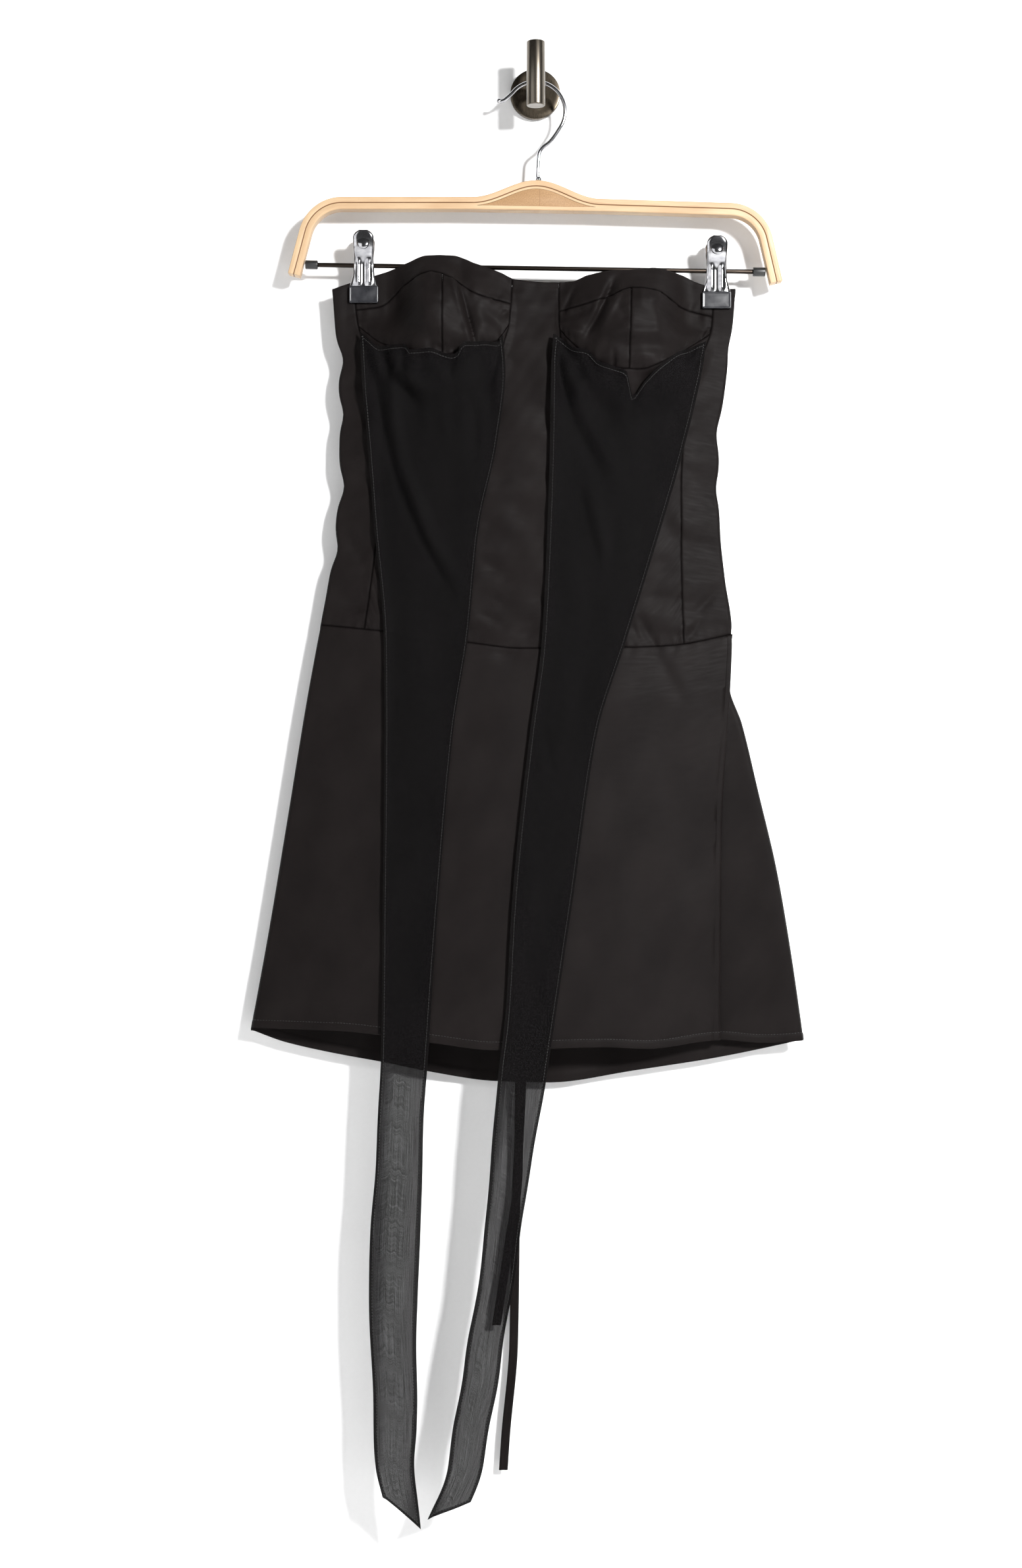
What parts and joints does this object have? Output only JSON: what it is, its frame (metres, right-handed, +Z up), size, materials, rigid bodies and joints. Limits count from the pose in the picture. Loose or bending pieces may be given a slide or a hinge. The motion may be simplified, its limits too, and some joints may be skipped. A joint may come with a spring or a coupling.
{
  "type": "halter mini dress on a clip hanger and a wall hook",
  "caption": "Strapless boned mini dress with cups, a flared pleated skirt and long loose halter ties, clipped to a hanger on a wall hook.",
  "frame": {"origin": "middle of the wall plate's back face, which lies on the wall", "axes": "+Z up, +Y into the wall, +X to the viewer's right; the dress's front faces -Y"},
  "size_m": [0.4806, 0.0617, 1.273],
  "materials": {
    "satin": "black satin",
    "satin_tie": "narrow black satin tube",
    "chiffon": "sheer matte black chiffon",
    "plywood": "clear satin lacquer on pale bent plywood",
    "wood_core": "tan cork-like core",
    "chrome": "polished chrome",
    "rod_steel": "drawn steel rod",
    "brushed_steel": "brushed stainless steel",
    "rubber": "smooth dipped rubber",
    "black_plastic": "black moulded plastic"
  },
  "bodies": {
    "root": {"bodice_centre_front": "satin", "cup_band_left": "satin", "cup_outer_left": "satin", "cup_inner_left": "satin", "cup_band_right": "satin", "cup_outer_right": "satin", "cup_inner_right": "satin", "front_left": "satin", "front_right": "satin", "side_left": "satin", "side_right": "satin", "back_left": "satin", "back_right": "satin", "skirt_front": "satin", "skirt_back": "satin", "drape_left": "chiffon", "drape_right": "chiffon", "tie_a": "satin_tie", "tie_b": "satin_tie", "wall_plate": "brushed_steel", "wall_stem": "brushed_steel", "wall_peg": "brushed_steel", "hanger_hook": "chrome", "hanger_outer": "plywood", "hanger_inner": "plywood", "hanger_core": "wood_core", "hanger_rod": "rod_steel", "rod_cap_left": "black_plastic", "rod_cap_right": "black_plastic", "clip_left_front": "chrome", "jaw_left_front": "rubber", "clip_left_back": "chrome", "jaw_left_back": "rubber", "clip_right_front": "chrome", "jaw_right_front": "rubber", "clip_right_back": "chrome", "jaw_right_back": "rubber"}
  },
  "joints": []
}
